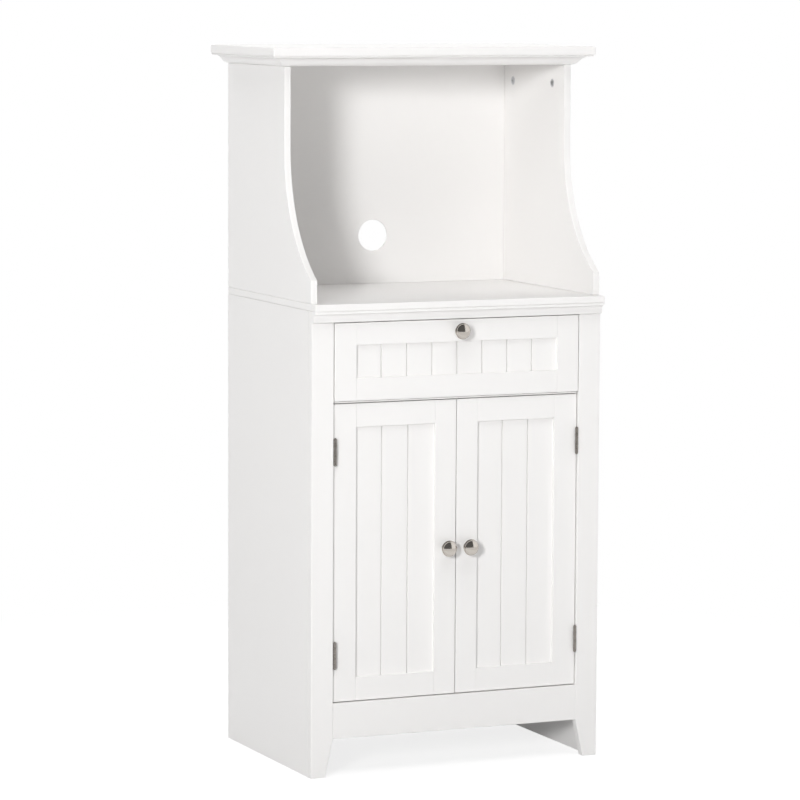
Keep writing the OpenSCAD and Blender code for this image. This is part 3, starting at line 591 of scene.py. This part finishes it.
def eased_copy(source: bpy.types.Object, name: str, ease: float, shortest: float,
               shy: float, segments: int = 3) -> bpy.types.Object:
    """Copies a board and rounds its long sharp edges, as sanding and paint do.

    The loose triangles are merged and flat areas made one face each. An edge is eased where its
    two faces meet at more than 30 degrees and it is longer than the given least length, which
    leaves out the rims of small holes.

    Args:
        source: the board's object in the frame.
        name: the new object's name.
        ease: radius of the rounded edge, in metres.
        shortest: least length of an edge that is eased, in metres.
        shy: how far the faces stay back from the CAD's, which opens hairline joints.
        segments: faces across the rounding.

    Returns:
        The new object, with Displace, Bevel and Weighted Normal modifiers.
    """
    mesh = bpy.data.meshes.new(name)
    work = bmesh.new()
    work.from_mesh(source.data)
    bmesh.ops.remove_doubles(work, verts=work.verts, dist=MERGE)
    bmesh.ops.dissolve_limit(work, angle_limit=FLAT, verts=work.verts, edges=work.edges,
                             delimit={"NORMAL"})
    weight = work.edges.layers.float.new("bevel_weight_edge")
    for edge in work.edges:
        if len(edge.link_faces) == 2 and edge.calc_face_angle(0.0) > SHARP:
            if edge.calc_length() > shortest:
                edge[weight] = 1.0
    work.to_mesh(mesh)
    work.free()
    mesh.polygons.foreach_set("use_smooth", np.ones(len(mesh.polygons), bool))
    mesh.set_sharp_from_angle(angle=SHARP)
    made = bpy.data.objects.new(name, mesh)
    bpy.context.scene.collection.objects.link(made)
    joint = made.modifiers.new("hairline_joints", "DISPLACE")
    joint.mid_level = 0.0
    joint.strength = -shy
    bevel = made.modifiers.new("eased_edges", "BEVEL")
    bevel.limit_method = "WEIGHT"
    bevel.width = ease
    bevel.segments = segments
    bevel.use_clamp_overlap = False
    even = made.modifiers.new("flat_faces", "WEIGHTED_NORMAL")
    even.mode = "FACE_AREA"
    even.weight = 100
    even.keep_sharp = True
    return made


# ---------------------------------------------------------------------------------------------
# The workshop that places and dresses pieces
# ---------------------------------------------------------------------------------------------


class Workshop:
    """Holds the frame and the finishes, and puts pieces on their bodies."""

    def __init__(self, frame: dict) -> None:
        """Reads which body and finish each node has.
        """
        record = frame["record"]
        self.nodes: dict[str, bpy.types.Object] = frame["nodes"]
        self.slot_of = {s["node"]: Slot(s["material_slot"]) for s in record["subparts"]}
        bodies = record["behaviour"]["bodies"]
        self.body_of = {node: body for body, names in bodies.items() for node in names}
        effects = Effects()
        self.materials = {slot: finish.material(effects) for slot, finish in FINISHES.items()}
        # The hinges get a darker copy of the nickel, painted shade for their shaded gaps
        self.shade_darkened_hinge_metal = SHADE_DARKENED_NICKEL.material(effects)

    def dress(self, piece: bpy.types.Object, slot: Slot) -> None:
        """Gives a piece one finish.

        Args:
            piece: the object to dress.
            slot: the finish's slot.
        """
        piece.data.materials.clear()
        piece.data.materials.append(self.materials[slot])

    def dress_node(self, node: str) -> None:
        """Puts the finish on a node that stays as the frame has it."""
        self.dress(self.nodes[node], self.slot_of[node])
        LOG.info("%s: finish %s", node, self.slot_of[node].value)

    def dress_hinge(self, node: str) -> None:
        """Gives a hinge's node the knobs' nickel in its slot, but duller, and darker as painted
        shade for the gap it sits in.
        """
        self.dress_node(node)
        self.nodes[node].data.materials[0] = self.shade_darkened_hinge_metal

    def stand_in(self, piece: bpy.types.Object, node: str) -> None:
        """Puts a new piece in a node's place, on its body and in its finish.

        Args:
            piece: the new piece, already in its place.
            node: the node that it stands for.
        """
        self.dress(piece, self.slot_of[node])
        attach(piece, self.body_of[node])
        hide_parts(node)
        LOG.info("%s: stands for %s", piece.name, node)

    def ease(self, node: str, ease: float, shortest: float = 4.0 * MM) -> bpy.types.Object:
        """Replaces a board with a copy whose edges are eased.

        Args:
            node: the board's name.
            ease: radius of its edges, in metres.
            shortest: least length of an edge that is eased, in metres.

        Returns:
            The new piece.
        """
        piece = eased_copy(self.nodes[node], f"{node}_eased", ease, shortest, HAIRLINE)
        self.stand_in(piece, node)
        return piece


# ---------------------------------------------------------------------------------------------
# Sub-assemblies
# ---------------------------------------------------------------------------------------------


@dataclass
class Crown:
    """The crown board and its mitred moulding."""

    shop: Workshop
    board_ease: float = 1.0 * MM
    moulding_ease: float = 0.4 * MM
    mouldings: tuple[str, ...] = ("crown_front_moulding", "crown_left_moulding",
                                  "crown_right_moulding")

    def build(self) -> None:
        """Eases the board and the three mouldings."""
        self.shop.ease("crown_board", self.board_ease)
        for node in self.mouldings:
            self.shop.ease(node, self.moulding_ease)


@dataclass
class Hutch:
    """The open bay: two curved sides, the ceiling board and the thin back."""

    shop: Workshop
    side_ease: float = 0.9 * MM
    back_ease: float = 0.25 * MM
    sides: tuple[str, ...] = ("hutch_left_side", "hutch_right_side")

    def build(self) -> None:
        """Eases the sides, the ceiling board and the back panel."""
        for node in self.sides:
            self.shop.ease(node, self.side_ease)
        self.shop.ease("hutch_top", self.side_ease)
        self.shop.ease("hutch_back", self.back_ease, shortest=1.0 * MM)


@dataclass
class Counter:
    """The counter board and the coved moulding under its front edge."""

    shop: Workshop
    board_ease: float = 1.1 * MM
    moulding_ease: float = 0.6 * MM

    def build(self) -> None:
        """Eases the board and the moulding."""
        self.shop.ease("counter_board", self.board_ease)
        self.shop.ease("counter_moulding", self.moulding_ease)


@dataclass
class Base:
    """The cupboard under the counter, with its legs, apron and shelf."""

    shop: Workshop
    ease: float = 0.7 * MM
    side_ease: float = 0.2 * MM
    leg_joint: float = 0.5 * MM
    boards: tuple[str, ...] = ("left_leg", "right_leg", "apron", "divider", "cupboard_floor",
                               "shelf", "left_runner_block", "right_runner_block")
    sides: tuple[str, ...] = ("base_left_side", "base_right_side")
    plain: tuple[str, ...] = ("base_back", "shelf_pins", "left_runner", "right_runner",
                              "runner_screws", "cam_locks", "cam_bolts", "dowels",
                              "catch_case", "catch_poles", "catch_screws")

    def build(self) -> None:
        """Eases the boards, and leaves a fine open joint between the sides and the legs."""
        for node in self.boards:
            self.shop.ease(node, self.ease)
        for node in self.sides:
            set_back(self.shop.ease(node, self.side_ease), 0.0, self.leg_joint)

    def dress(self) -> None:
        """Gives the fittings their finishes."""
        for node in self.plain:
            self.shop.dress_node(node)


@dataclass
class KnobShape:
    """A turned mushroom knob, described from its foot to the top of its dome."""

    diameter: float
    reach: float
    foot_radius: float = 6.0 * MM
    foot_height: float = 1.6 * MM
    neck_radius: float = 5.0 * MM
    dome: float = 7.0 * MM
    rim: float = 2.5 * MM
    foot_round: float = 0.5 * MM
    steps: int = 96

    def profile(self) -> tuple[np.ndarray, np.ndarray]:
        """Works out the knob's outline.

        The foot is a disc with a rounded edge. The neck's radius falls from the foot with the
        sixth power of the distance left and swells to the head with the fourth power of the
        distance gone. The rim is half an ellipse and the dome a quarter of one.

        Returns:
            Radii, and heights with the two poles first and last.
        """
        head = self.diameter / 2.0
        under = head - self.rim / 2.0
        rim_low = self.reach - self.dome - self.rim
        corner = np.linspace(0.0, math.pi / 2.0, 7)
        soft = self.foot_round
        foot_r = self.foot_radius - soft + soft * np.cos(corner)
        foot_h = self.foot_height - soft + soft * np.sin(corner)
        u = np.linspace(0.03, 1.0, 40)
        neck_r = (self.neck_radius + (self.foot_radius - soft - self.neck_radius) * (1 - u) ** 6
                  + (under - self.neck_radius) * u ** 4)
        neck_h = self.foot_height + (rim_low - self.foot_height) * u
        swing = np.linspace(-math.pi / 2.0, math.pi / 2.0, 17)[1:-1]
        rim_r = under + (head - under) * np.cos(swing)
        rim_h = rim_low + self.rim / 2.0 * (1.0 + np.sin(swing))
        rise = np.linspace(0.0, math.pi / 2.0, 33)[:-1]
        dome_r = under * np.cos(rise)
        dome_h = rim_low + self.rim + self.dome * np.sin(rise)
        radii = np.concatenate(([self.foot_radius], foot_r, neck_r, rim_r, dome_r))
        heights = np.concatenate(([0.0, 0.0], foot_h, neck_h, rim_h, dome_h, [self.reach]))
        return radii, heights


@dataclass
class Knob:
    """One knob, set where its node is."""

    shop: Workshop
    node: str

    def build(self) -> None:
        """Turns the knob and sets it on its face, its axis along -Y."""
        low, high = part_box(self.node)
        shape = KnobShape(high.x - low.x, high.y - low.y)
        radii, heights = shape.profile()
        piece = revolve(f"{self.node}_turned", radii, heights, shape.steps)
        centre = (low + high) / 2.0
        face = Vector((centre.x, high.y, centre.z))
        piece.data.transform(Matrix.Translation(face) @ Matrix.Rotation(math.pi / 2.0, 4, "X"))
        self.shop.stand_in(piece, self.node)


@dataclass
class Drawer:
    """The drawer with its framed front and its box."""

    shop: Workshop
    front_ease: float = 0.4 * MM
    panel_ease: float = 0.08 * MM
    box_ease: float = 0.8 * MM
    box: tuple[str, ...] = ("drawer_inner_front", "drawer_left_side", "drawer_right_side",
                            "drawer_back")

    def build(self) -> None:
        """Eases the front and the box, and turns the knob."""
        self.shop.ease("drawer_front_stiles", self.front_ease)
        self.shop.ease("drawer_front_rails", self.front_ease)
        panel = self.shop.ease("drawer_front_panel", self.panel_ease)
        set_back(panel, GROOVE, DEEPER)
        for node in self.box:
            self.shop.ease(node, self.box_ease)
        Knob(self.shop, "drawer_knob").build()

    def dress(self) -> None:
        """Gives the bottom and the knob's screw their finishes."""
        self.shop.dress_node("drawer_bottom")
        self.shop.dress_node("drawer_knob_screw")


@dataclass
class Door:
    """One door with its knob, its hinge leaves and its strike plate."""

    shop: Workshop
    side: str
    frame_ease: float = 0.4 * MM
    panel_ease: float = 0.08 * MM

    def build(self) -> None:
        """Eases the frame and the panel, and turns the knob."""
        for part in ("stiles", "rails"):
            self.shop.ease(f"{self.side}_door_{part}", self.frame_ease)
        panel = self.shop.ease(f"{self.side}_door_panel", self.panel_ease)
        set_back(panel, GROOVE, DEEPER)
        Knob(self.shop, f"{self.side}_door_knob").build()

    def dress(self) -> None:
        """Gives the metal fittings their finishes."""
        for part in ("knob_screw", "strike_plate"):
            self.shop.dress_node(f"{self.side}_{part}")
        # The hinge leaves and their screws get the nickel darkened as painted shade
        for part in ("door_leaves", "leaf_screws"):
            self.shop.dress_hinge(f"{self.side}_{part}")


@dataclass
class Hinges:
    """The parts of the four hinges that stay on the cabinet."""

    shop: Workshop
    nodes: tuple[str, ...] = ("frame_leaves", "frame_leaf_screws", "hinge_pins")

    def dress(self) -> None:
        """Gives the leaves, screws and pins their finishes, the nickel darkened as painted
        shade.
        """
        for node in self.nodes:
            self.shop.dress_hinge(node)


# ---------------------------------------------------------------------------------------------
# Stage
# ---------------------------------------------------------------------------------------------


@dataclass
class View:
    """The photograph's camera: where it stands, where it points and how long its lens is."""

    place: tuple[float, float, float] = (-2.7166, -6.0917, 1.3508)
    yaw: float = math.radians(23.811)
    pitch: float = math.radians(6.313)
    roll: float = math.radians(0.269)
    focal_pixels: float = 3865.8
    sensor: float = 36.0

    def build(self) -> None:
        """Makes the camera and sets it as the scene's."""
        data = bpy.data.cameras.new("view")
        data.sensor_width = self.sensor
        data.lens = self.focal_pixels / IMAGE_PIXELS * self.sensor
        data.clip_start, data.clip_end = 0.05, 100.0
        camera = bpy.data.objects.new("view", data)
        bpy.context.scene.collection.objects.link(camera)
        camera.matrix_world = Matrix.Translation(self.place) @ self.turn().to_4x4()
        bpy.context.scene.camera = camera

    def turn(self) -> Matrix:
        """Works out the camera's axes from its yaw, pitch and roll.

        Returns:
            A matrix whose columns are the camera's right, up and back directions.
        """
        flat = math.cos(self.pitch)
        ahead = Vector((math.sin(self.yaw) * flat, math.cos(self.yaw) * flat,
                        -math.sin(self.pitch)))
        level = ahead.cross(Vector((0.0, 0.0, 1.0))).normalized()
        rise = level.cross(ahead)
        right = level * math.cos(self.roll) + rise * math.sin(self.roll)
        up = rise * math.cos(self.roll) - level * math.sin(self.roll)
        return Matrix((right, up, -ahead)).transposed()


@dataclass
class Lamp:
    """A soft box that shines at one point."""

    name: str
    azimuth: float
    elevation: float
    distance: float
    width: float
    watts: float
    aim: tuple[float, float, float] = (0.0, -0.1, 0.75)

    def build(self) -> None:
        """Makes the lamp. Azimuth turns from the front towards the cabinet's left."""
        turn, lift = math.radians(self.azimuth), math.radians(self.elevation)
        out = Vector((-math.sin(turn) * math.cos(lift), -math.cos(turn) * math.cos(lift),
                      math.sin(lift)))
        data = bpy.data.lights.new(self.name, "AREA")
        data.shape = "DISK"
        data.size = self.width
        data.energy = self.watts
        lamp = bpy.data.objects.new(self.name, data)
        bpy.context.scene.collection.objects.link(lamp)
        lamp.location = Vector(self.aim) + out * self.distance
        lamp.rotation_mode = "QUATERNION"
        lamp.rotation_quaternion = (-out).to_track_quat("-Z", "Y")
        lamp.visible_glossy = False


def seen_by_eye(board: Board) -> bpy.types.NodeSocket:
    """Adds a mask that is one for the rays that show a surface: direct, mirrored or through.

    Args:
        board: the tree to build in.

    Returns:
        The mask's socket.
    """
    ray = board.add("ShaderNodeLightPath")
    mask = board.maths("MAXIMUM", ray.outputs["Is Camera Ray"], ray.outputs["Is Glossy Ray"])
    return board.maths("MAXIMUM", mask, ray.outputs["Is Transmission Ray"])


@dataclass
class ReflectionShell:
    """A part of a large sphere round the cabinet, which shows only in glossy reflections.

    It is a painted reflection: a glowing sheet that lights nothing and stands in, in polished
    metal and paint, for a studio's dark end or a bright wall.
    """

    name: str
    tone: float
    near_side: float
    far_side: float
    low: float
    high: float
    radius: float = 9.5
    middle: tuple[float, float, float] = (0.0, 0.0, 0.8)
    steps: int = 24

    def points(self) -> np.ndarray:
        """Works out the shell's grid of points.

        With side angle s from the front towards the cabinet's right and lift e over the front
        horizon, a point is the middle plus the radius times (sin s, -cos s cos e, cos s sin e).

        Returns:
            An array of points, row by row from the lowest lift.
        """
        lift, side = np.meshgrid(
            np.radians(np.linspace(self.low, self.high, self.steps)),
            np.radians(np.linspace(self.near_side, self.far_side, self.steps)), indexing="ij")
        out = np.stack((np.sin(side), -np.cos(side) * np.cos(lift),
                        np.cos(side) * np.sin(lift)), axis=-1)
        return (np.array(self.middle) + self.radius * out).reshape(-1, 3)

    def build(self) -> None:
        """Makes the shell and hides it from every other kind of ray."""
        row, column = np.meshgrid(np.arange(self.steps - 1), np.arange(self.steps - 1),
                                  indexing="ij")
        here = row * self.steps + column
        above = here + self.steps
        quads = np.stack((here, here + 1, above + 1, above), axis=-1).reshape(-1, 4)
        mesh = bpy.data.meshes.new(self.name)
        mesh.from_pydata(self.points().tolist(), [], quads.tolist())
        shell = bpy.data.objects.new(self.name, mesh)
        bpy.context.scene.collection.objects.link(shell)
        material = bpy.data.materials.new(self.name)
        material.use_nodes = True
        board = Board(material.node_tree)
        board.tree.nodes.clear()
        glow = board.add("ShaderNodeEmission")
        board.feed(glow, Strength=self.tone)
        out = board.add("ShaderNodeOutputMaterial")
        board.join(glow.outputs[0], out.inputs["Surface"])
        mesh.materials.append(material)
        shell.visible_camera = shell.visible_diffuse = shell.visible_shadow = False
        shell.visible_transmission = shell.visible_volume_scatter = False


@dataclass
class Studio:
    """The pale floor, the world, the lamps, and the painted reflections that polished metal
    mirrors.
    """

    world_strength: float = 0.02
    floor_radius: float = 6.0
    floor_sides: int = 96
    floor_near: float = 0.58
    floor_far: float = 0.95
    paler_from: float = 0.3
    paler_to: float = 2.0
    floor_lift: float = 0.78
    shadow_share: float = 0.35
    fade_from: float = 0.7
    fade_to: float = 1.6
    lamps: list[Lamp] = field(default_factory=lambda: [
        Lamp("key", 40.3, 9.5, 7.5, 1.35, 318.0, (0.0, 0.06, 0.95)),
        Lamp("high", 5.0, 62.0, 8.0, 5.4, 215.0),
        Lamp("high_left", 48.0, 48.0, 8.0, 4.5, 82.0),
        Lamp("side_left", 85.0, 20.0, 6.0, 2.6, 9.0),
        Lamp("side_right", -95.0, 25.0, 6.0, 2.6, 30.0),
        Lamp("right_fill", -35.0, 20.0, 7.0, 2.6, 15.0),
        Lamp("low_fill", 0.0, -3.0, 7.0, 0.9, 18.0),
        Lamp("rear_left", 150.0, 48.0, 6.0, 2.6, 70.0),
        Lamp("rear_right", -145.0, 48.0, 6.0, 2.6, 90.0),
        Lamp("rear_top", 180.0, 60.0, 4.0, 2.0, 28.0, (0.0, 0.1, 1.2)),
    ])
    # Painted reflections: glowing shells that light nothing and show only in mirrors, a dark one
    # over the front and left and a bright one on the right
    shells: list[ReflectionShell] = field(default_factory=lambda: [
        ReflectionShell("painted_dark_reflection", 0.16, -85.0, 27.0, -9.0, 125.0),
        ReflectionShell("painted_bright_reflection", 1.3, 27.0, 88.0, -12.0, 150.0),
    ])

    def build(self) -> None:
        """Sets the world, lays the floor, builds the shells and hangs the lamps."""
        self.light_world()
        self.lay_floor()
        for shell in self.shells:
            shell.build()
        for lamp in self.lamps:
            lamp.build()
        bpy.context.scene.view_settings.view_transform = "Standard"

    def light_world(self) -> None:
        """Lights the object evenly and shows white to the camera and in mirrors."""
        world = bpy.data.worlds.new("studio")
        world.use_nodes = True
        bpy.context.scene.world = world
        board = Board(world.node_tree)
        board.tree.nodes.clear()
        seen = seen_by_eye(board)
        lit = board.add("ShaderNodeBackground")
        board.feed(lit, Color=(1.0, 1.0, 1.0, 1.0), Strength=self.world_strength)
        white = board.add("ShaderNodeBackground")
        board.feed(white, Color=(1.0, 1.0, 1.0, 1.0), Strength=1.0)
        blend = board.add("ShaderNodeMixShader")
        board.join(seen, blend.inputs[0])
        board.join(lit.outputs[0], blend.inputs[1])
        board.join(white.outputs[0], blend.inputs[2])
        out = board.add("ShaderNodeOutputWorld")
        board.join(blend.outputs[0], out.inputs["Surface"])

    def lay_floor(self) -> None:
        """Lays a round floor that fades into the white round it and keeps the shadow.

        Light that bounces meets a matt floor that gets paler outwards. The camera and mirrors
        see the same shading thinned to a share of it on top of an even white, and from one
        radius to the next that turns into the plain white of the world.
        """
        steps = self.floor_sides
        turn = np.linspace(0.0, 2.0 * math.pi, steps, endpoint=False)
        rim = np.stack((np.cos(turn), np.sin(turn), np.zeros(steps)), axis=-1)
        mesh = bpy.data.meshes.new("floor")
        mesh.from_pydata((rim * self.floor_radius).tolist(), [], [tuple(range(steps))])
        floor = bpy.data.objects.new("floor", mesh)
        bpy.context.scene.collection.objects.link(floor)
        material = bpy.data.materials.new("floor")
        material.use_nodes = True
        board = Board(material.node_tree)
        board.tree.nodes.clear()
        place = board.add("ShaderNodeTexCoord").outputs["Object"]
        reach = board.add("ShaderNodeVectorMath", operation="LENGTH")
        board.join(place, reach.inputs[0])
        tone = board.add("ShaderNodeMapRange", interpolation_type="SMOOTHSTEP")
        board.feed(tone, Value=reach.outputs["Value"], From_Min=self.paler_from,
                   From_Max=self.paler_to, To_Min=self.floor_near, To_Max=self.floor_far)
        bounce = board.add("ShaderNodeBsdfDiffuse")
        board.feed(bounce, Color=tone.outputs["Result"])
        thin = board.add("ShaderNodeBsdfDiffuse")
        board.feed(thin, Color=(self.shadow_share, self.shadow_share, self.shadow_share, 1.0))
        even = board.add("ShaderNodeEmission")
        board.feed(even, Strength=self.floor_lift)
        near = board.add("ShaderNodeAddShader")
        board.join(thin.outputs[0], near.inputs[0])
        board.join(even.outputs[0], near.inputs[1])
        far = board.add("ShaderNodeEmission")
        board.feed(far, Strength=1.0)
        fade = board.add("ShaderNodeMapRange", interpolation_type="SMOOTHSTEP")
        board.feed(fade, Value=reach.outputs["Value"], From_Min=self.fade_from,
                   From_Max=self.fade_to)
        shown = board.add("ShaderNodeMixShader")
        board.join(fade.outputs["Result"], shown.inputs[0])
        board.join(near.outputs[0], shown.inputs[1])
        board.join(far.outputs[0], shown.inputs[2])
        blend = board.add("ShaderNodeMixShader")
        board.join(seen_by_eye(board), blend.inputs[0])
        board.join(bounce.outputs[0], blend.inputs[1])
        board.join(shown.outputs[0], blend.inputs[2])
        out = board.add("ShaderNodeOutputMaterial")
        board.join(blend.outputs[0], out.inputs["Surface"])
        mesh.materials.append(material)


def main() -> None:
    """Builds the cabinet's looks in order."""
    logging.basicConfig(level=logging.INFO, format="%(name)s: %(message)s")
    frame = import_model()
    shop = Workshop(frame)
    View().build()
    Studio().build()
    Crown(shop).build()
    Hutch(shop).build()
    Counter(shop).build()
    base = Base(shop)
    drawer = Drawer(shop)
    doors = [Door(shop, side) for side in ("left", "right")]
    for part in (base, drawer, *doors):
        part.build()
        part.dress()
    Hinges(shop).dress()


if __name__ == "__main__":
    main()
